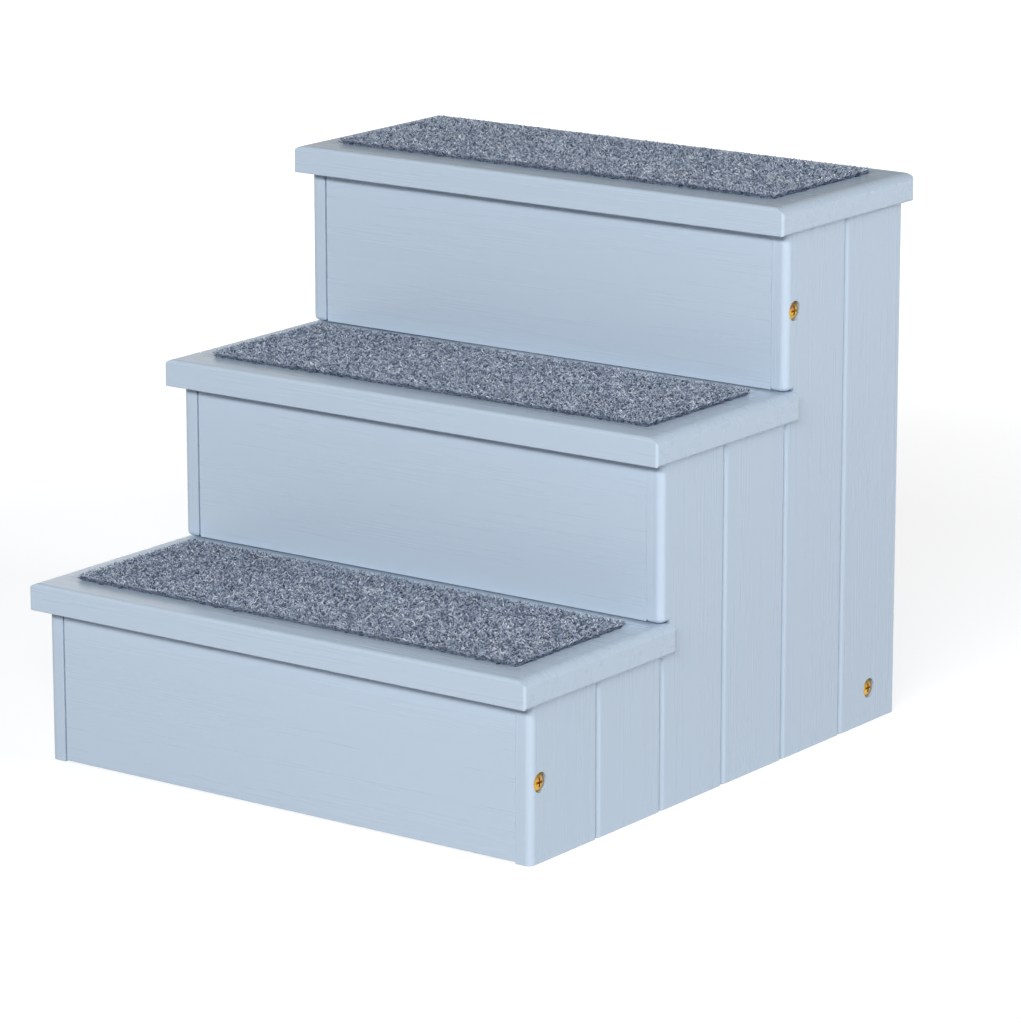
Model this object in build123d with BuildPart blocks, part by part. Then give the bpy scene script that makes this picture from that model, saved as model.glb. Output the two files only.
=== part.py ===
from build123d import *
import os

os.makedirs("parts", exist_ok=True)

# Pet stairs in millimetres. The front is -Y, the right side is +X, and the floor is Z = 0.
# The origin is on the floor, below the middle of the treads' outline.

# The flight of steps
step_names = ["bottom", "middle", "top"]
tread_length = 405.0
first_rise = 124.0
step_rise = 126.0

# Treads
tread_thickness = 19.0
nose_overhang = 13.0
side_overhang = 5.0
rear_overhang = 8.0
tread_tuck = 10.0
tread_edge_radius = 2.4
tread_corner_radius = 2.0
tread_arris = 0.8
end_round_width = 8.0
end_round_drop = 4.0
end_foot_radius = 2.0

# Side boards: tongue and groove, with their outer edges rounded where they meet, the front one the most
boards_per_step = 2
board_pitch = 71.0
last_board_width = 69.0
board_thickness = 12.0
board_edge_radius = 5.0
board_rear_radius = 1.6
board_arris = 0.5
board_gap = 0.5
tongue_length = 5.0
tongue_thickness = 3.2
tongue_inset = 2.8
tongue_clearance = 0.2
notch_gap = 1.0
notch_clearance = 0.5
notch_lip_radius = 3.0

# Risers
riser_thickness = 18.0
riser_setback = 1.0
riser_end_gap = 0.5
riser_floor_gap = 0.8
riser_tread_gap = 1.2
riser_arris = 0.5

# Rear rail
rail_thickness = 18.0
rail_height = 45.0
rail_floor_gap = 2.0
rail_inset = 31.0

# Carpets
carpet_thickness = 4.0
carpet_side_margin = 24.0
carpet_front_margin = 24.0
carpet_rear_margin = 16.0
carpet_edge_radius = 2.0

# Cleats
cleat_width = 18.0
cleat_height = 18.0
cleat_end_gap = 1.0
cleat_arris = 1.0

# Connector bolts and the barrel nuts that they screw into
bolt_diameter = 6.0
bolt_clearance = 0.3
bolt_head_diameter = 12.4
bolt_head_height = 2.6
bolt_head_edge = 1.2
bolt_recess_diameter = 13.4
bolt_recess_depth = 3.0
bolt_tip_chamfer = 0.8
bolt_tail = 2.0
cross_length = 6.4
cross_width = 1.5
cross_depth = 1.9
nut_diameter = 10.0
nut_length = 13.0
nut_inset = 27.0
nut_clearance = 0.2
nut_thread_clearance = 0.05
nut_chamfer = 0.6
nut_slot_width = 1.4
nut_slot_depth = 1.2

# Dowels
dowel_diameter = 8.0
dowel_in_board = 8.5
dowel_in_riser = 19.0
dowel_chamfer = 1.0
dowel_clearance = 0.1
dowel_end_clearance = 0.5
dowel_spread = 34.0
rail_dowel_rise = 13.0

# Wood screws: cleats to side boards, and up through the cleats into the treads
screw_diameter = 4.0
screw_head_diameter = 8.0
screw_tip = 4.0
screw_clearance = 0.1
screw_cross_length = 4.4
screw_cross_width = 1.0
screw_cross_depth = 1.4
board_bite = 7.0
tread_bite = 12.0
pilot_clearance = 0.6
screw_stagger = 18.0
countersink_angle = 90

# Lines and heights that the pieces share
step_count = len(step_names)
board_count = boards_per_step * step_count
step_pitch = boards_per_step * board_pitch
boards_depth = (board_count - 1) * board_pitch + last_board_width
overall_depth = nose_overhang + boards_depth + rear_overhang
front_line = -overall_depth / 2
boards_front = front_line + nose_overhang
boards_rear = boards_front + boards_depth
outer_face = tread_length / 2 - side_overhang
inner_face = outer_face - board_thickness
riser_end = inner_face - riser_end_gap
cleat_face = inner_face - cleat_width
tread_screw_line = inner_face - cleat_width / 2
nut_lines = [nut_inset - riser_end, riser_end - nut_inset]
rail_line = boards_rear - rail_inset
rail_middle = rail_floor_gap + rail_height / 2
visible_run = step_pitch + nose_overhang + riser_setback
carpet_depth = visible_run - carpet_front_margin - carpet_rear_margin


def tread_top(step):
    return first_rise + step * step_rise


def tread_under(step):
    return tread_top(step) - tread_thickness


def tread_front(step):
    return front_line + step * step_pitch


def tread_rear(step):
    """A lower tread runs into the next step's boards, and the top one ends behind the side boards."""
    if step == step_count - 1:
        return boards_rear + rear_overhang
    return tread_front(step) + nose_overhang + step_pitch + tread_tuck


def riser_front(step):
    return boards_front + step * step_pitch + riser_setback


def riser_line(step):
    return riser_front(step) + riser_thickness / 2


def riser_bottom(step):
    return riser_floor_gap if step == 0 else tread_top(step - 1) + riser_tread_gap


def riser_middle(step):
    return (riser_bottom(step) + tread_under(step)) / 2


def board_front(board):
    return boards_front + board * board_pitch


def board_width(board):
    return last_board_width if board == board_count - 1 else board_pitch - board_gap


def board_top(board):
    return tread_under(board // boards_per_step)


def board_line(board):
    return board_front(board) + board_width(board) / 2


# Fastener places on the right side, each a (y, z) pair. The left side mirrors them.
bolted_steps = [0, step_count - 1]
bolt_places = [(riser_line(step), riser_middle(step)) for step in bolted_steps] + [(rail_line, rail_middle)]
dowel_places = [(rail_line, rail_middle + rail_dowel_rise)]
for step in range(step_count):
    for rise in (-dowel_spread, dowel_spread):
        dowel_places.append((riser_line(step), riser_middle(step) + rise))


def cleat_screw_places(step):
    """One screw in the middle of each side board that the cleat crosses."""
    boards = range(boards_per_step * step, board_count)
    return [(board_line(board), tread_under(step) - cleat_height / 2) for board in boards]


def tread_screw_lines(step):
    """One upright screw beside each side board's middle, under the tread."""
    first = boards_per_step * step
    return [board_line(board) + screw_stagger for board in range(first, first + boards_per_step)]


def in_board(board, places):
    """The places that lie on this side board."""
    front = board_front(board)
    return [place for place in places if front < place[0] < front + board_pitch]


def facing_right(x, places):
    """Locations on an upright face at x whose outward normal is +X."""
    return [Location((x, y, z), (0, 90, 0)) for y, z in places]


def facing_left(x, places):
    """Locations on an upright face at x whose outward normal is -X."""
    return [Location((x, y, z), (0, -90, 0)) for y, z in places]


def facing_down(x, z, lines):
    """Locations on a level face at z, seen from below."""
    return [Location((x, y, z), (180, 0, 0)) for y in lines]


def front_section(bottom):
    """A tread seen from the front: each end rounded over widely at the top and a little at the bottom."""
    end = tread_length / 2
    top = bottom + tread_thickness
    shoulder = top - end_round_drop
    with BuildSketch() as section:
        with BuildLine():
            Polyline((-end, shoulder), (-end, bottom), (end, bottom), (end, shoulder))
            TangentArc((end - end_round_width, top), (end, shoulder), tangent=(1, 0))
            Line((end - end_round_width, top), (end_round_width - end, top))
            TangentArc((end_round_width - end, top), (-end, shoulder), tangent=(-1, 0))
        make_face()
        fillet(section.vertices().group_by(Axis.Y)[1], tread_arris)
        fillet(section.vertices().group_by(Axis.Y)[0], end_foot_radius)
    return section.sketch


def side_section(front, rear, bottom):
    """A tread seen from the side: the long upper edges rounded a little, and the lower ones just broken."""
    with BuildSketch() as section:
        with Locations(((front + rear) / 2, bottom + tread_thickness / 2)):
            Rectangle(rear - front, tread_thickness)
        fillet(section.vertices().group_by(Axis.Y)[-1], tread_edge_radius)
        fillet(section.vertices().group_by(Axis.Y)[0], tread_arris)
    return section.sketch


# Treads: rounded boards with screw holes in their undersides
for step, step_name in enumerate(step_names):
    front = tread_front(step)
    rear = tread_rear(step)
    bottom = tread_under(step)
    with BuildPart() as tread:
        with BuildSketch(Plane.XY.offset(bottom)):
            with Locations((0, (front + rear) / 2)):
                RectangleRounded(tread_length, rear - front, tread_corner_radius)
        extrude(amount=tread_thickness)
        with BuildSketch(Plane.XZ):
            add(front_section(bottom))
        extrude(amount=overall_depth, both=True, mode=Mode.INTERSECT)
        with BuildSketch(Plane.YZ):
            add(side_section(front, rear, bottom))
        extrude(amount=tread_length, both=True, mode=Mode.INTERSECT)
        for x in (-tread_screw_line, tread_screw_line):
            with Locations(*facing_down(x, bottom, tread_screw_lines(step))):
                Hole(screw_diameter / 2 + screw_clearance, tread_bite + pilot_clearance)
    tread.part.label = f"{step_name}_tread"
    export_step(tread.part, f"parts/{tread.part.label}.step")


# Carpets: one flat pad glued on each tread
for step, step_name in enumerate(step_names):
    with BuildPart() as carpet:
        with BuildSketch(Plane.XY.offset(tread_top(step))):
            with Locations((0, tread_front(step) + carpet_front_margin + carpet_depth / 2)):
                Rectangle(tread_length - 2 * carpet_side_margin, carpet_depth)
        extrude(amount=carpet_thickness)
        top_edges = carpet.faces().sort_by(Axis.Z)[-1].edges()
        fillet(carpet.edges().filter_by(Axis.Z) + top_edges, carpet_edge_radius)
    carpet.part.label = f"{step_name}_carpet"
    export_step(carpet.part, f"parts/{carpet.part.label}.step")


# Side boards: the right one is drawn, and the left one is its mirror image
for board in range(board_count):
    front = board_front(board)
    rear = front + board_width(board)
    top = board_top(board)
    step_below = board // boards_per_step - 1
    meets_next = board < board_count - 1
    with BuildPart() as right_board:
        with BuildSketch(Plane.XY):
            with Locations((inner_face, front)):
                Rectangle(board_thickness, rear - front, align=Align.MIN)
        extrude(amount=top)
        outer_edges = right_board.edges().filter_by(Axis.Z).group_by(Axis.X)[-1].sort_by(Axis.Y)
        fillet(outer_edges[0], board_edge_radius)
        outer_edges = right_board.edges().filter_by(Axis.Z).group_by(Axis.X)[-1].sort_by(Axis.Y)
        fillet(outer_edges[-1], board_rear_radius if meets_next else board_arris)
        fillet(right_board.edges().filter_by(Axis.Z).group_by(Axis.X)[0], board_arris)
        fillet(right_board.faces().sort_by(Axis.Z)[0].edges(), board_arris)
        if meets_next:
            with BuildSketch(Plane.XY):
                with Locations((inner_face + tongue_inset, rear)):
                    Rectangle(tongue_thickness, tongue_length, align=Align.MIN)
            extrude(amount=top)
        if board > 0:
            groove_width = tongue_thickness + 2 * tongue_clearance
            with BuildSketch(Plane.XY):
                with Locations((inner_face + tongue_inset - tongue_clearance, front)):
                    Rectangle(groove_width, tongue_length, align=Align.MIN)
            extrude(amount=board_top(board - 1), mode=Mode.SUBTRACT)
        if board > 0 and board % boards_per_step == 0:
            notch_rear = tread_rear(step_below) + notch_clearance
            notch_top = tread_top(step_below) + notch_gap
            with BuildSketch(Plane.XY.offset(tread_under(step_below))):
                with Locations((inner_face, front)):
                    Rectangle(board_thickness, notch_rear - front, align=Align.MIN)
            extrude(amount=notch_top - tread_under(step_below), mode=Mode.SUBTRACT)
            lip_faces = right_board.faces().filter_by(Plane.XY)
            lip_face = [face for face in lip_faces if abs(face.center().Z - notch_top) < notch_gap / 2][0]
            fillet(lip_face.edges().filter_by(Axis.X).sort_by(Axis.Y)[0], notch_lip_radius)
        bolt_holes = in_board(board, bolt_places)
        if bolt_holes:
            with Locations(*facing_right(outer_face, bolt_holes)):
                CounterBoreHole(
                    radius=bolt_diameter / 2 + bolt_clearance,
                    counter_bore_radius=bolt_recess_diameter / 2,
                    counter_bore_depth=bolt_recess_depth,
                )
        dowel_holes = in_board(board, dowel_places)
        if dowel_holes:
            with Locations(*facing_left(inner_face, dowel_holes)):
                Hole(dowel_diameter / 2 + dowel_clearance, dowel_in_board + dowel_end_clearance)
        for step in range(board // boards_per_step + 1):
            with Locations(*facing_left(inner_face, in_board(board, cleat_screw_places(step)))):
                Hole(screw_diameter / 2 + screw_clearance, board_bite + pilot_clearance)
    right_board.part.label = f"right_board_{board + 1}"
    export_step(right_board.part, f"parts/{right_board.part.label}.step")

    with BuildPart() as left_board:
        mirror(right_board.part, about=Plane.YZ)
    left_board.part.label = f"left_board_{board + 1}"
    export_step(left_board.part, f"parts/{left_board.part.label}.step")


def cross_board(front, thickness, bottom, top, bolts, dowels):
    """A board between the two sides, drilled in both ends. Bolts and dowels are lists of (y, z) places."""
    with BuildPart() as board:
        with BuildSketch(Plane.XY.offset(bottom)):
            with Locations((0, front + thickness / 2)):
                Rectangle(2 * riser_end, thickness)
        extrude(amount=top - bottom)
        fillet(board.edges(), riser_arris)
        for holes in (facing_right(riser_end, dowels), facing_left(-riser_end, dowels)):
            with Locations(*holes):
                Hole(dowel_diameter / 2 + dowel_clearance, dowel_in_riser + dowel_end_clearance)
        if bolts:
            bolt_reach = nut_inset + nut_diameter / 2 + bolt_tail
            for holes in (facing_right(riser_end, bolts), facing_left(-riser_end, bolts)):
                with Locations(*holes):
                    Hole(bolt_diameter / 2 + bolt_clearance, bolt_reach + bolt_clearance)
            nut_depth = thickness / 2 + nut_length / 2 + nut_clearance
            for x in nut_lines:
                with Locations(*[Location((x, front + thickness, z), (-90, 0, 0)) for _, z in bolts]):
                    Hole(nut_diameter / 2 + nut_clearance, nut_depth)
    return board


# Risers: the bottom and top ones are bolted, and the middle one is held by its dowels
for step, step_name in enumerate(step_names):
    line = riser_line(step)
    riser = cross_board(
        front=riser_front(step),
        thickness=riser_thickness,
        bottom=riser_bottom(step),
        top=tread_under(step),
        bolts=[place for place in bolt_places if place[0] == line],
        dowels=[place for place in dowel_places if place[0] == line],
    )
    riser.part.label = f"{step_name}_riser"
    export_step(riser.part, f"parts/{riser.part.label}.step")


# Rear rail: it ties the two sides together near the floor
rear_rail = cross_board(
    front=rail_line - rail_thickness / 2,
    thickness=rail_thickness,
    bottom=rail_floor_gap,
    top=rail_floor_gap + rail_height,
    bolts=[place for place in bolt_places if place[0] == rail_line],
    dowels=[place for place in dowel_places if place[0] == rail_line],
)
rear_rail.part.label = "rear_rail"
export_step(rear_rail.part, "parts/rear_rail.step")


# Cleats: one below each end of each tread, screwed to the side boards behind the riser
for step, step_name in enumerate(step_names):
    front = riser_front(step) + riser_thickness + cleat_end_gap
    rear = boards_rear - cleat_end_gap
    bottom = tread_under(step) - cleat_height
    with BuildPart() as right_cleat:
        with BuildSketch(Plane.XY.offset(bottom)):
            with Locations((cleat_face, front)):
                Rectangle(cleat_width, rear - front, align=Align.MIN)
        extrude(amount=cleat_height)
        fillet(right_cleat.edges(), cleat_arris)
        with Locations(*facing_left(cleat_face, cleat_screw_places(step))):
            CounterSinkHole(
                radius=screw_diameter / 2 + screw_clearance,
                counter_sink_radius=screw_head_diameter / 2 + screw_clearance,
                counter_sink_angle=countersink_angle,
            )
        with Locations(*facing_down(tread_screw_line, bottom, tread_screw_lines(step))):
            CounterSinkHole(
                radius=screw_diameter / 2 + screw_clearance,
                counter_sink_radius=screw_head_diameter / 2 + screw_clearance,
                counter_sink_angle=countersink_angle,
            )
    right_cleat.part.label = f"right_{step_name}_cleat"
    export_step(right_cleat.part, f"parts/{right_cleat.part.label}.step")

    with BuildPart() as left_cleat:
        mirror(right_cleat.part, about=Plane.YZ)
    left_cleat.part.label = f"left_{step_name}_cleat"
    export_step(left_cleat.part, f"parts/{left_cleat.part.label}.step")


# Connector bolt: a low domed head with a cross recess, drawn with its seat on Z = 0
bolt_seat = outer_face - bolt_recess_depth
bolt_length = bolt_seat - riser_end + nut_inset + nut_diameter / 2 + bolt_tail
bolt_radius = bolt_diameter / 2
with BuildPart() as bolt:
    with BuildSketch(Plane.XZ):
        with BuildLine():
            Polyline(
                (0, bolt_head_height),
                (0, -bolt_length),
                (bolt_radius - bolt_tip_chamfer, -bolt_length),
                (bolt_radius, bolt_tip_chamfer - bolt_length),
                (bolt_radius, 0),
                (bolt_head_diameter / 2, 0),
                (bolt_head_diameter / 2, bolt_head_edge),
            )
            TangentArc(
                (0, bolt_head_height),
                (bolt_head_diameter / 2, bolt_head_edge),
                tangent=(1, 0),
            )
        make_face()
    revolve(axis=Axis.Z)
    with BuildSketch(Plane.XY.offset(bolt_head_height)):
        Rectangle(cross_length, cross_width)
        Rectangle(cross_width, cross_length)
    extrude(amount=-cross_depth, mode=Mode.SUBTRACT)

with BuildPart() as connector_bolts:
    with Locations(*facing_right(bolt_seat, bolt_places), *facing_left(-bolt_seat, bolt_places)):
        add(bolt.part)
connector_bolts.part.label = "connector_bolts"
export_step(connector_bolts.part, "parts/connector_bolts.step")


# Barrel nut: a cross-drilled barrel with a slot in its rear end, drawn with the slot end up
with BuildPart() as nut:
    with BuildSketch(Plane.XY.offset(-nut_length / 2)):
        Circle(nut_diameter / 2)
    extrude(amount=nut_length)
    chamfer(nut.edges().filter_by(GeomType.CIRCLE), nut_chamfer)
    with Locations(Location((nut_diameter / 2, 0, 0), (0, 90, 0))):
        Hole(bolt_radius + nut_thread_clearance, nut_diameter)
    with BuildSketch(Plane.XY.offset(nut_length / 2)):
        Rectangle(nut_diameter, nut_slot_width)
    extrude(amount=-nut_slot_depth, mode=Mode.SUBTRACT)

with BuildPart() as barrel_nuts:
    with Locations(*[Location((x, y, z), (-90, 0, 0)) for x in nut_lines for y, z in bolt_places]):
        add(nut.part)
barrel_nuts.part.label = "barrel_nuts"
export_step(barrel_nuts.part, "parts/barrel_nuts.step")


# Dowels: plain pins with broken ends, half in the side boards and half in the risers and rail
dowel_tip = inner_face + dowel_in_board
dowel_length = dowel_tip - riser_end + dowel_in_riser
with BuildPart() as dowel:
    with BuildSketch(Plane.XY.offset(-dowel_length)):
        Circle(dowel_diameter / 2)
    extrude(amount=dowel_length)
    chamfer(dowel.edges().filter_by(GeomType.CIRCLE), dowel_chamfer)

with BuildPart() as dowels:
    with Locations(*facing_right(dowel_tip, dowel_places), *facing_left(-dowel_tip, dowel_places)):
        add(dowel.part)
dowels.part.label = "dowels"
export_step(dowels.part, "parts/dowels.step")


def wood_screw(length):
    """A countersunk wood screw pointing down, with the top of its head on Z = 0."""
    head_radius = screw_head_diameter / 2
    shank_radius = screw_diameter / 2
    with BuildPart() as screw:
        with BuildSketch(Plane.XZ):
            with BuildLine():
                Polyline(
                    (0, 0),
                    (head_radius, 0),
                    (shank_radius, shank_radius - head_radius),
                    (shank_radius, screw_tip - length),
                    (0, -length),
                    close=True,
                )
            make_face()
        revolve(axis=Axis.Z)
        with BuildSketch(Plane.XY):
            Rectangle(screw_cross_length, screw_cross_width)
            Rectangle(screw_cross_width, screw_cross_length)
        extrude(amount=-screw_cross_depth, mode=Mode.SUBTRACT)
    return screw


# Screws that hold the cleats on the side boards
cleat_screw = wood_screw(cleat_width + board_bite)
with BuildPart() as cleat_screws:
    for step in range(step_count):
        places = cleat_screw_places(step)
        with Locations(*facing_left(cleat_face, places), *facing_right(-cleat_face, places)):
            add(cleat_screw.part)
cleat_screws.part.label = "cleat_screws"
export_step(cleat_screws.part, "parts/cleat_screws.step")


# Screws that hold the treads down on the cleats
tread_screw = wood_screw(cleat_height + tread_bite)
with BuildPart() as tread_screws:
    for step in range(step_count):
        for x in (-tread_screw_line, tread_screw_line):
            with Locations(*facing_down(x, tread_under(step) - cleat_height, tread_screw_lines(step))):
                add(tread_screw.part)
tread_screws.part.label = "tread_screws"
export_step(tread_screws.part, "parts/tread_screws.step")
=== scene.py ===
"""Pet stairs: the finish of boards and fixings, the carpets with their pile, the light and the camera."""

import math
import random

import bmesh
import bpy
from mathutils import Matrix, Vector


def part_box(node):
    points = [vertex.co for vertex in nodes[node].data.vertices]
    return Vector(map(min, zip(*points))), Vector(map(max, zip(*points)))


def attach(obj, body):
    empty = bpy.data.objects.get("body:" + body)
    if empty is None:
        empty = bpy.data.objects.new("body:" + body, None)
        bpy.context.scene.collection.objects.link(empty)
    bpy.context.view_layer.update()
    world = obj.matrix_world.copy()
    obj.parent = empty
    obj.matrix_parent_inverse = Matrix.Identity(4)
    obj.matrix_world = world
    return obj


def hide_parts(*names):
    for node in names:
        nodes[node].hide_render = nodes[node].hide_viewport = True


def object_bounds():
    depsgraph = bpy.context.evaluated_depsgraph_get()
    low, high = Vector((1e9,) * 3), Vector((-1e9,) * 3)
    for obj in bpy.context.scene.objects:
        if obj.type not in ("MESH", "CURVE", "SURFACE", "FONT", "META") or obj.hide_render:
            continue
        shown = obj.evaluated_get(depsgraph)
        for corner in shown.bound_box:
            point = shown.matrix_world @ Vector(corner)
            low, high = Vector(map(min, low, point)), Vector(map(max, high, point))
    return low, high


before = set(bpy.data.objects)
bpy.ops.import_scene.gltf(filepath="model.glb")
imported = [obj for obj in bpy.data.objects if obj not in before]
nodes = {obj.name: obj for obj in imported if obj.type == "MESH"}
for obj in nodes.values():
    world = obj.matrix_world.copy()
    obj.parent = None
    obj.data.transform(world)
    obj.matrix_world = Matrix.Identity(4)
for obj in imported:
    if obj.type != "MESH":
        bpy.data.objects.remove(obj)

cad_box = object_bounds()
scene = bpy.context.scene

MM = 0.001
STEPS = ("bottom", "middle", "top")

# Camera, fitted to the photograph's lines that run along the stairs' own axes, with angles in degrees
IMAGE_WIDTH, IMAGE_HEIGHT = 1021, 1024
CAMERA_PLACE = Vector((1.9419, -2.6130, 0.9762))
CAMERA_AZIMUTH, CAMERA_ELEVATION = 36.05, 13.96
FOCAL_PIXELS = 5007.0
CENTRE_OFFSET_PIXELS = (13.6, -15.2)
SENSOR_WIDTH = 36.0
FARTHEST_SEEN = 100.0

# Floor, with its glow beside the stairs and the distances between which that rises to plain white
FLOOR_HALF_SIDE = 12.0
FLOOR_GLOW = 0.74
FLOOR_NEAR, FLOOR_FAR = 0.7, 1.9

# Room, as its light on matt surfaces and as the white wall in grey surroundings that gloss sees
ROOM_LEVEL = 0.024
WALL_GREY, WALL_WHITE = 0.28, 1.4
WALL_EDGE_AZIMUTH = 38.2
WALL_LEAN = 0.25
WALL_STARTS_LEFT, WALL_FULL_LEFT = 0.035, 0.1
WALL_FULL_BELOW, WALL_ENDS_ABOVE = 0.35, 0.45

# Lamps, each with azimuth from the front to the right, elevation, distance, width, height and level
LAMPS = (
    ("key", 22.0, 24.5, 5.0, 3.4, 0.6, 0.985),
    ("fill", 95.0, 22.0, 4.5, 1.6, 0.9, 0.475),
    ("rear", 235.0, 8.0, 4.0, 2.2, 0.6, 0.55),
)

# Paint on pine, with the streaks of the grain, the bands that they lie in and the orange peel
STREAK_LENGTH, STREAK_WIDTH = 45 * MM, 0.9 * MM
BAND_LENGTH, BAND_WIDTH = 260 * MM, 9 * MM
GRAIN_SPREAD = 50.0
PEEL_SIZE = 1.3 * MM
PAINT_RELIEF = 0.05 * MM

# Plating of the fixings, and the flecks of the beech
CHROMATE_DRIFT, CHROMATE_GRIT, CHROMATE_RELIEF = 4 * MM, 0.35 * MM, 0.02 * MM
ZINC_MOTTLE = 1.5 * MM
FLECK_LENGTH, FLECK_WIDTH, FLECK_RELIEF = 8 * MM, 0.6 * MM, 0.05 * MM

# Felt backing of the carpets
BACKING_THICKNESS = 1.5 * MM
BACKING_CORNER = 2.0 * MM
BACKING_CORNER_STEPS = 4
FELT_TUFT, FELT_RELIEF = 0.8 * MM, 0.3 * MM

# Pile of the carpets, short strands that lie every way, thicker and fewer than real ones so that they show
PILE_CLOUD = 9 * MM
STRAND_LENGTHS = (2.0 * MM, 3.4 * MM)
STRAND_RADII = (0.34 * MM, 0.52 * MM)
STRAND_RISE = (0.1, 0.8)
STRAND_TAPER = 0.75
PATCH_STRANDS = 12
PATCH_COLUMNS, PATCH_ROWS = 22, 7
STAMP_KINDS = 6
PATCH_ROOT_SHARES = (0.3, 0.75)
STRIP_STRANDS = 42
STRIP_INSET = 0.3 * MM
# Strands on the cut edge root lower, so the painted root shade darkens the carpet's edge
STRIP_ROOT_SHARES = (0.04, 0.8)


def linear(colour):
    """An sRGB hex colour as linear RGBA."""
    parts = [int(colour[i : i + 2], 16) / 255 for i in (1, 3, 5)]
    return [c / 12.92 if c <= 0.04045 else ((c + 0.055) / 1.055) ** 2.4 for c in parts] + [1.0]


def add(tree, kind, inputs=None, stops=None, **settings):
    """Adds a node with its settings. inputs are values, or sockets to link, by the input's name or number.
    stops are a colour ramp's places and colours."""
    made = tree.nodes.new("ShaderNode" + kind)
    for name, value in settings.items():
        setattr(made, name, value)
    for name, value in (inputs or {}).items():
        if isinstance(value, bpy.types.NodeSocket):
            tree.links.new(value, made.inputs[name])
        else:
            made.inputs[name].default_value = value
    if stops:
        elements = made.color_ramp.elements
        while len(elements) < len(stops):
            elements.new(0.5)
        for element, (place, colour) in zip(elements, stops):
            element.position = place
            element.color = linear(colour)
    return made


def new_material(name):
    """An empty node material and its tree."""
    made = bpy.data.materials.new(name)
    made.use_nodes = True
    made.node_tree.nodes.clear()
    return made, made.node_tree


def painted_wood(name, streak, band):
    """Solid pine under sprayed satin paint. The eye gets a pale blue-grey that is almost even, with the long
    grain just telling through it, a fine orange peel in the gloss, and a soft white sheen at low angles.
    streak and band are the sizes of the grain's streaks and bands along X, Y and Z. Each board has a place
    of its own in the pattern, along the spread."""
    material, tree = new_material(name)
    place = add(tree, "TexCoord").outputs["Object"]
    own = add(tree, "ObjectInfo").outputs["Random"]
    own = add(tree, "Math", {0: own, 1: GRAIN_SPREAD}, operation="MULTIPLY").outputs[0]
    streaks = add(tree, "Mapping", {"Vector": place, "Scale": [1 / size for size in streak]}).outputs[0]
    bands = add(tree, "Mapping", {"Vector": place, "Scale": [1 / size for size in band]}).outputs[0]
    grain = add(tree, "TexNoise", {"Vector": streaks, "W": own, "Scale": 1.0, "Detail": 3.0},
                noise_dimensions="4D").outputs["Fac"]
    broad = add(tree, "TexNoise", {"Vector": bands, "W": own, "Scale": 1.0, "Detail": 2.0},
                noise_dimensions="4D").outputs["Fac"]
    peel = add(tree, "TexNoise", {"Vector": place, "Scale": 1 / PEEL_SIZE, "Detail": 1.0}).outputs["Fac"]
    both = add(tree, "Mix", {"Factor": 0.7, "A": grain, "B": broad}, data_type="FLOAT").outputs[0]
    colour = add(tree, "ValToRGB", {"Fac": both}, stops=[(0.3, "#B8C8D9"), (0.7, "#BACADA")]).outputs[0]
    rough = add(tree, "MapRange", {"Value": both, "To Min": 0.26, "To Max": 0.29}).outputs["Result"]
    height = add(tree, "Mix", {"Factor": 0.35, "A": grain, "B": peel}, data_type="FLOAT").outputs[0]
    bump = add(tree, "Bump", {"Height": height, "Strength": 0.03, "Distance": PAINT_RELIEF}).outputs[0]
    paint = add(tree, "BsdfPrincipled", {"Base Color": colour, "IOR": 1.5, "Roughness": rough,
                                         "Normal": bump})
    add(tree, "OutputMaterial", {"Surface": paint.outputs[0]})
    return material


def yellow_zinc():
    """Steel, zinc plated with a yellow chromate. The eye gets a brassy gold that drifts to green and rose,
    with a soft glint."""
    material, tree = new_material("yellow_zinc_steel")
    place = add(tree, "TexCoord").outputs["Object"]
    drift = add(tree, "TexNoise", {"Vector": place, "Scale": 1 / CHROMATE_DRIFT, "Detail": 2.0}).outputs[0]
    grit = add(tree, "TexNoise", {"Vector": place, "Scale": 1 / CHROMATE_GRIT, "Detail": 1.0}).outputs[0]
    stops = [(0.30, "#BBAA4C"), (0.45, "#DDB352"), (0.6, "#DFAE64"), (0.74, "#D19482")]
    colour = add(tree, "ValToRGB", {"Fac": drift}, stops=stops).outputs["Color"]
    rough = add(tree, "MapRange", {"Value": grit, "To Min": 0.24, "To Max": 0.42}).outputs["Result"]
    bump = add(tree, "Bump", {"Height": grit, "Strength": 0.2, "Distance": CHROMATE_RELIEF}).outputs[0]
    metal = add(tree, "BsdfPrincipled", {"Base Color": colour, "Metallic": 1.0, "Roughness": rough,
                                         "Normal": bump})
    add(tree, "OutputMaterial", {"Surface": metal.outputs[0]})
    return material


def bright_zinc():
    """Steel screws, blue-white zinc plated. The eye gets a cool grey metal with a slightly mottled shine."""
    material, tree = new_material("bright_zinc_steel")
    place = add(tree, "TexCoord").outputs["Object"]
    mottle = add(tree, "TexNoise", {"Vector": place, "Scale": 1 / ZINC_MOTTLE, "Detail": 2.0}).outputs["Fac"]
    colour = add(tree, "ValToRGB", {"Fac": mottle}, stops=[(0.3, "#A9AEB4"), (0.7, "#C9CDD2")]).outputs[0]
    rough = add(tree, "MapRange", {"Value": mottle, "To Min": 0.22, "To Max": 0.4}).outputs["Result"]
    metal = add(tree, "BsdfPrincipled", {"Base Color": colour, "Metallic": 1.0, "Roughness": rough})
    add(tree, "OutputMaterial", {"Surface": metal.outputs[0]})
    return material


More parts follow.
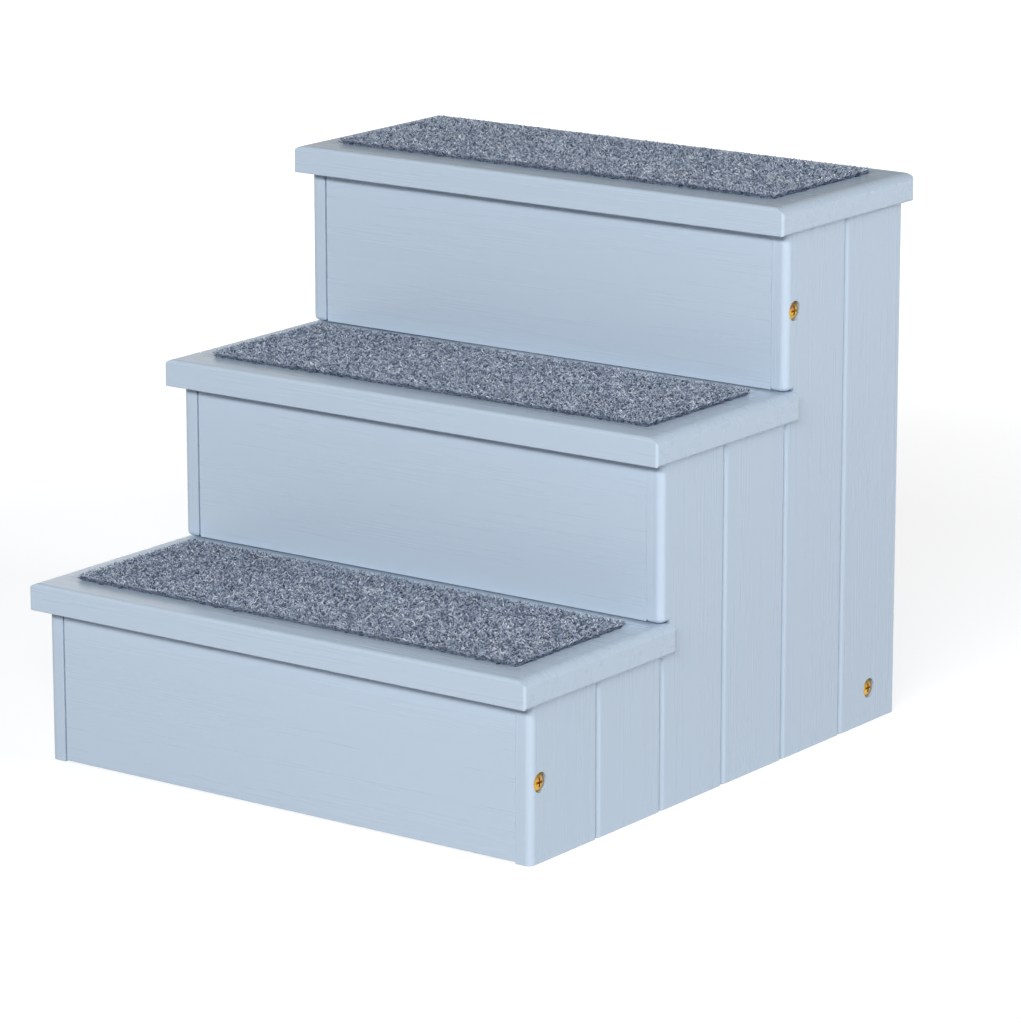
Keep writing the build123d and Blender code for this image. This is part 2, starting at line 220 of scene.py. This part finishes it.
def beech():
    """Beech dowels, turned and bare. The eye gets a warm pale wood with short dark flecks along X."""
    material, tree = new_material("beech_dowel")
    place = add(tree, "TexCoord").outputs["Object"]
    fleck = (FLECK_LENGTH, FLECK_WIDTH, FLECK_WIDTH)
    along = add(tree, "Mapping", {"Vector": place, "Scale": [1 / size for size in fleck]}).outputs[0]
    flecks = add(tree, "TexNoise", {"Vector": along, "Scale": 1.0, "Detail": 2.0}).outputs["Fac"]
    stops = [(0.3, "#B98F63"), (0.55, "#D6B388"), (0.75, "#DFC29A")]
    colour = add(tree, "ValToRGB", {"Fac": flecks}, stops=stops).outputs["Color"]
    bump = add(tree, "Bump", {"Height": flecks, "Strength": 0.3, "Distance": FLECK_RELIEF}).outputs[0]
    wood = add(tree, "BsdfPrincipled", {"Base Color": colour, "Roughness": 0.65, "Normal": bump})
    add(tree, "OutputMaterial", {"Surface": wood.outputs[0]})
    return material


def felt_backing():
    """Needled felt that the pile stands in. The eye gets a dark slate mat between and under the fibres."""
    material, tree = new_material("needled_felt_backing")
    place = add(tree, "TexCoord").outputs["Object"]
    tufts = add(tree, "TexNoise", {"Vector": place, "Scale": 1 / FELT_TUFT, "Detail": 3.0}).outputs["Fac"]
    colour = add(tree, "ValToRGB", {"Fac": tufts}, stops=[(0.35, "#4E596A"), (0.65, "#7C8797")]).outputs[0]
    bump = add(tree, "Bump", {"Height": tufts, "Strength": 0.8, "Distance": FELT_RELIEF}).outputs[0]
    felt = add(tree, "BsdfPrincipled", {"Base Color": colour, "Roughness": 0.95, "Normal": bump})
    add(tree, "OutputMaterial", {"Surface": felt.outputs[0]})
    return material


def heather_fibre():
    """Polyester staple fibres of mixed dyes, needled together. The eye gets pepper and salt: slate,
    blue-grey and near-white strands side by side, soft clouds of lighter and darker pile, and dark gaps.
    The gaps are real shadow between strands, deepened by painted shade: each strand darkens towards its
    root."""
    material, tree = new_material("heather_polyester_pile")
    place = add(tree, "TexCoord").outputs["Object"]
    each = add(tree, "NewGeometry").outputs["Random Per Island"]
    clouds = add(tree, "TexNoise", {"Vector": place, "Scale": 1 / PILE_CLOUD, "Detail": 2.0}).outputs["Fac"]
    clouds = add(tree, "MapRange", {"Value": clouds, "From Min": 0.3, "From Max": 0.7, "To Min": -0.18,
                                    "To Max": 0.18}).outputs["Result"]
    pick = add(tree, "Math", {0: each, 1: clouds}, operation="ADD", use_clamp=True).outputs[0]
    stops = [(0.0, "#515D73"), (0.15, "#6F7D92"), (0.35, "#8C99AC"), (0.65, "#A2ADBE"), (0.85, "#B3BCCA"),
             (1.0, "#D1D8E1")]
    dye = add(tree, "ValToRGB", {"Fac": pick}, stops=stops).outputs["Color"]
    # Painted shade: each strand's colour is darkened towards its root, deep in the pile where shade falls
    share = add(tree, "Attribute", attribute_name="height_in_pile").outputs["Fac"]
    depth = add(tree, "ValToRGB", {"Fac": share}, stops=[(0.15, "#6A7690"), (0.95, "#FFFFFF")]).outputs[0]
    colour = add(tree, "Mix", {"Factor": 1.0, 6: dye, 7: depth}, data_type="RGBA",
                 blend_type="MULTIPLY").outputs[2]
    fibre = add(tree, "BsdfPrincipled", {"Base Color": colour, "Roughness": 0.8, "Sheen Weight": 0.25,
                                         "Sheen Roughness": 0.4})
    add(tree, "OutputMaterial", {"Surface": fibre.outputs[0]})
    return material


def finish_node(name, material):
    """Gives a carried-over node its finish."""
    piece = nodes[name]
    piece.data.materials.clear()
    piece.data.materials.append(material)


def finish_boards_and_fixings():
    """The finish of every node that is carried over as it is. A board's grain runs along its length."""
    across = painted_wood("painted_pine_grain_across", (STREAK_LENGTH, STREAK_WIDTH, STREAK_WIDTH),
                          (BAND_LENGTH, BAND_WIDTH, BAND_WIDTH))
    upright = painted_wood("painted_pine_grain_upright", (STREAK_WIDTH, STREAK_WIDTH, STREAK_LENGTH),
                           (BAND_WIDTH, BAND_WIDTH, BAND_LENGTH))
    endwise = painted_wood("painted_pine_grain_endwise", (STREAK_WIDTH, STREAK_LENGTH, STREAK_WIDTH),
                           (BAND_WIDTH, BAND_LENGTH, BAND_WIDTH))
    yellow, bright, dowel = yellow_zinc(), bright_zinc(), beech()
    for name in nodes:
        if name.endswith(("tread", "riser", "rail")):
            finish_node(name, across)
        elif "_board_" in name:
            finish_node(name, upright)
        elif name.endswith("cleat"):
            finish_node(name, endwise)
    for name, material, slot in (
        ("connector_bolts", yellow, "bolt_steel"),
        ("barrel_nuts", yellow, "bolt_steel"),
        ("dowels", dowel, "dowel_wood"),
        ("cleat_screws", bright, "screw_steel"),
        ("tread_screws", bright, "screw_steel"),
    ):
        finish_node(name, material)


def mesh_from(name, bm):
    """Keeps a finished bmesh as a mesh."""
    mesh = bpy.data.meshes.new(name)
    bm.to_mesh(mesh)
    bm.free()
    return mesh


def new_piece(name, bm, material):
    """A mesh object from a bmesh, riding on the stairs."""
    mesh = mesh_from(name, bm)
    mesh.materials.append(material)
    piece = bpy.data.objects.new(name, mesh)
    scene.collection.objects.link(piece)
    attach(piece, "root")
    return piece


def backing_sheet(low, high):
    """A thin mat with rounded corners, as large as the carpet and as thick as its felt."""
    bm = bmesh.new()
    size = high - low
    middle = (low + high) / 2
    bmesh.ops.create_cube(bm, size=1.0)
    place = Vector((middle.x, middle.y, low.z + BACKING_THICKNESS / 2))
    scale = Matrix.Diagonal((size.x, size.y, BACKING_THICKNESS, 1.0))
    bmesh.ops.transform(bm, matrix=Matrix.Translation(place) @ scale, verts=bm.verts)
    corners = [e for e in bm.edges if abs(e.verts[0].co.z - e.verts[1].co.z) > BACKING_THICKNESS / 2]
    bmesh.ops.bevel(bm, geom=corners, offset=BACKING_CORNER, offset_type="OFFSET", affect="EDGES",
                    segments=BACKING_CORNER_STEPS, profile=0.5, material=-1)
    bmesh.ops.triangulate(bm, faces=bm.faces)
    return bm


def any_way(chance):
    """A direction at random, upwards, and mostly nearer to level than to upright."""
    rise = chance.uniform(*STRAND_RISE)
    turn = chance.uniform(0.0, math.tau)
    level = math.sqrt(1.0 - rise * rise)
    return Vector((level * math.cos(turn), level * math.sin(turn), rise))


def strand(bm, root, way, chance, tall):
    """One strand from its root along way: a three-sided rod, thinner at its tip. tall is the pile's height,
    and a strand that would end above it is lowered."""
    length = chance.uniform(*STRAND_LENGTHS)
    thick = chance.uniform(*STRAND_RADII)
    lift = Vector((0.0, 0.0, min(0.0, tall - root.z - length * way.z)))
    place = Matrix.Translation(root + lift + way * length / 2)
    stand = way.to_track_quat("Z", "Y").to_matrix().to_4x4()
    spin = Matrix.Rotation(chance.uniform(0.0, math.tau), 4, "Z")
    made = bmesh.ops.create_cone(bm, cap_ends=True, segments=3, radius1=thick, radius2=thick * STRAND_TAPER,
                                 depth=length, matrix=place @ stand @ spin)
    share = bm.verts.layers.float["height_in_pile"]
    for vert in made["verts"]:
        vert[share] = vert.co.z / tall


def strand_patch(seed, side, tall):
    """Strands on a square of the carpet about its origin, with the tread at Z = 0."""
    chance = random.Random(seed)
    pitch = side / PATCH_STRANDS
    bm = bmesh.new()
    bm.verts.layers.float.new("height_in_pile")
    for row in range(PATCH_STRANDS):
        for column in range(PATCH_STRANDS):
            x = (column + chance.random()) * pitch - side / 2
            y = (row + chance.random()) * pitch - side / 2
            root = Vector((x, y, tall * chance.uniform(*PATCH_ROOT_SHARES)))
            strand(bm, root, any_way(chance), chance, tall)
    return mesh_from(f"strand_patch_{seed}", bm)


def strand_strip(seed, long, tall):
    """Strands on a stretch of the carpet's cut edge, which faces -Y and runs along X through the origin."""
    chance = random.Random(seed)
    bm = bmesh.new()
    bm.verts.layers.float.new("height_in_pile")
    for count in range(STRIP_STRANDS):
        x = ((count + chance.random()) / STRIP_STRANDS - 0.5) * long
        root = Vector((x, STRIP_INSET, tall * chance.uniform(*STRIP_ROOT_SHARES)))
        way = any_way(chance)
        way.y = -abs(way.y)
        strand(bm, root, way, chance, tall)
    return mesh_from(f"strand_strip_{seed}", bm)


def stamp(bm, mesh, matrix):
    """Adds a copy of the mesh, placed by the matrix."""
    copy = mesh.copy()
    copy.transform(matrix)
    bm.from_mesh(copy)
    bpy.data.meshes.remove(copy)


def pile(patches, strips, side, low, high, seed):
    """The whole pile of one carpet: patches side by side, each turned at random, and strips round its edge.
    side is the length of a patch and of a strip before they are fitted."""
    chance = random.Random(seed)
    bm = bmesh.new()
    middle = (low + high) / 2
    wide = (high.x - low.x) / PATCH_COLUMNS
    deep = (high.y - low.y) / PATCH_ROWS
    for row in range(PATCH_ROWS):
        for column in range(PATCH_COLUMNS):
            place = Matrix.Translation((low.x + (column + 0.5) * wide, low.y + (row + 0.5) * deep, low.z))
            size = Matrix.Diagonal((wide / side, deep / side, 1.0, 1.0))
            turn = Matrix.Rotation(math.radians(90 * chance.randrange(4)), 4, "Z")
            stamp(bm, chance.choice(patches), place @ size @ turn)
    half_width, half_depth = high.x - middle.x, high.y - middle.y
    for turn, half, across, count in (
        (0, half_width, half_depth, PATCH_COLUMNS),
        (90, half_depth, half_width, PATCH_ROWS),
        (180, half_width, half_depth, PATCH_COLUMNS),
        (270, half_depth, half_width, PATCH_ROWS),
    ):
        face = Matrix.Translation((middle.x, middle.y, low.z)) @ Matrix.Rotation(math.radians(turn), 4, "Z")
        for part in range(count):
            along = ((part + 0.5) / count * 2 - 1) * half
            size = Matrix.Diagonal((2 * half / count / side, 1.0, 1.0, 1.0))
            stamp(bm, chance.choice(strips), face @ Matrix.Translation((along, -across, 0.0)) @ size)
    return bm


def lay_carpets():
    """Each tread's carpet: its felt backing, and the pile that is needled into it."""
    felt, fibres = felt_backing(), heather_fibre()
    low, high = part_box("bottom_carpet")
    tall = high.z - low.z
    side = (high.x - low.x) / PATCH_COLUMNS
    patches = [strand_patch(seed, side, tall) for seed in range(STAMP_KINDS)]
    strips = [strand_strip(seed, side, tall) for seed in range(STAMP_KINDS)]
    for seed, step in enumerate(STEPS):
        low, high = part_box(f"{step}_carpet")
        strands = pile(patches, strips, side, low, high, seed)
        hair = new_piece(f"{step}_carpet_pile", strands, fibres)
        mat = new_piece(f"{step}_carpet_backing", backing_sheet(low, high), felt)
        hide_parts(f"{step}_carpet")


def background_rays(tree):
    """1 for rays that see the background straight, in a reflection or through glass, and 0 for the rest."""
    path = add(tree, "LightPath").outputs
    seen = add(tree, "Math", {0: path["Is Camera Ray"], 1: path["Is Glossy Ray"]}, operation="MAXIMUM")
    seen = add(tree, "Math", {0: seen.outputs[0], 1: path["Is Transmission Ray"]}, operation="MAXIMUM")
    return seen.outputs[0]


def floor_plane():
    """A plain floor of pale grey card that keeps the stairs' shadow, lit up to white for the background."""
    bm = bmesh.new()
    bmesh.ops.create_grid(bm, x_segments=1, y_segments=1, size=FLOOR_HALF_SIDE)
    mesh = mesh_from("floor", bm)
    floor = bpy.data.objects.new("floor", mesh)
    scene.collection.objects.link(floor)
    material, tree = new_material("pale_studio_floor")
    place = add(tree, "TexCoord").outputs["Object"]
    away = add(tree, "VectorMath", {0: place}, operation="LENGTH").outputs["Value"]
    glow = add(tree, "MapRange", {"Value": away, "From Min": FLOOR_NEAR, "From Max": FLOOR_FAR,
                                  "To Min": FLOOR_GLOW, "To Max": 1.0}).outputs["Result"]
    glow = add(tree, "Math", {0: background_rays(tree), 1: glow}, operation="MULTIPLY").outputs[0]
    matt = add(tree, "BsdfDiffuse", {"Color": linear("#A8AAAC")}).outputs[0]
    lit = add(tree, "Emission", {"Strength": glow}).outputs[0]
    both = add(tree, "AddShader", {0: matt, 1: lit}).outputs[0]
    add(tree, "OutputMaterial", {"Surface": both})
    mesh.materials.append(material)


def studio_walls():
    """The room as the world. A matt surface gets only a little light from it, the camera sees it white, and
    gloss sees a white wall low down on the left, whose edge leans, with grey beside and above it.
    The wall's bounds are shares of a ray's length, to the left of that edge and upwards."""
    world = bpy.data.worlds.new("studio")
    scene.world = world
    world.use_nodes = True
    tree = world.node_tree
    tree.nodes.clear()
    way = add(tree, "TexCoord").outputs["Generated"]
    edge = math.radians(WALL_EDGE_AZIMUTH)
    leftward = (-math.cos(edge), -math.sin(edge), WALL_LEAN)
    left = add(tree, "VectorMath", {0: way, 1: leftward}, operation="DOT_PRODUCT").outputs["Value"]
    left = add(tree, "MapRange", {"Value": left, "From Min": WALL_STARTS_LEFT, "From Max": WALL_FULL_LEFT})
    rise = add(tree, "SeparateXYZ", {0: way}).outputs["Z"]
    low = add(tree, "MapRange", {"Value": rise, "From Min": WALL_ENDS_ABOVE, "From Max": WALL_FULL_BELOW})
    wall = add(tree, "Math", {0: left.outputs[0], 1: low.outputs[0]}, operation="MULTIPLY").outputs[0]
    wall = add(tree, "MapRange", {"Value": wall, "To Min": WALL_GREY, "To Max": WALL_WHITE}).outputs[0]
    path = add(tree, "LightPath").outputs
    level = add(tree, "Mix", {"Factor": path["Is Glossy Ray"], "A": ROOM_LEVEL, "B": wall},
                data_type="FLOAT").outputs[0]
    straight = add(tree, "Math", {0: path["Is Camera Ray"], 1: path["Is Transmission Ray"]},
                   operation="MAXIMUM").outputs[0]
    level = add(tree, "Mix", {"Factor": straight, "A": level, "B": 1.0}, data_type="FLOAT").outputs[0]
    light = add(tree, "Background", {"Color": linear("#FFFFFF"), "Strength": level}).outputs[0]
    add(tree, "OutputWorld", {"Surface": light})


def lamps():
    """A wide key lamp between the front and the camera, low enough for each overhang to drop a narrow dark
    line, a fill from the right, and one behind on the left for the sides that the photograph doesn't show.
    Gloss sees the room, not the lamps. A lamp at level 1 lights a white surface that faces it to white."""
    aim = (cad_box[0] + cad_box[1]) / 2
    for name, azimuth, elevation, distance, wide, high, level in LAMPS:
        turn, rise = math.radians(azimuth), math.radians(elevation)
        way = Vector((math.sin(turn) * math.cos(rise), -math.cos(turn) * math.cos(rise), math.sin(rise)))
        lamp = bpy.data.lights.new(name, "AREA")
        lamp.shape = "RECTANGLE"
        lamp.size = wide
        lamp.size_y = high
        lamp.energy = level * (math.pi * distance) ** 2
        holder = bpy.data.objects.new(name, lamp)
        holder.location = aim + way * distance
        holder.rotation_euler = way.to_track_quat("Z", "Y").to_euler()
        holder.visible_glossy = False
        scene.collection.objects.link(holder)


def camera():
    """The photograph's view: a long lens, to the right of the front and a little above."""
    made = bpy.data.cameras.new("camera")
    longest = max(IMAGE_WIDTH, IMAGE_HEIGHT)
    made.sensor_width = SENSOR_WIDTH
    made.lens = FOCAL_PIXELS / longest * SENSOR_WIDTH
    made.shift_x = -CENTRE_OFFSET_PIXELS[0] / longest
    made.shift_y = CENTRE_OFFSET_PIXELS[1] / longest
    made.clip_end = FARTHEST_SEEN
    holder = bpy.data.objects.new("camera", made)
    holder.location = CAMERA_PLACE
    holder.rotation_euler = (math.radians(90 - CAMERA_ELEVATION), 0.0, math.radians(CAMERA_AZIMUTH))
    scene.collection.objects.link(holder)
    scene.camera = holder


scene.view_settings.view_transform = "Standard"
camera()
floor_plane()
studio_walls()
lamps()
finish_boards_and_fixings()
lay_carpets()
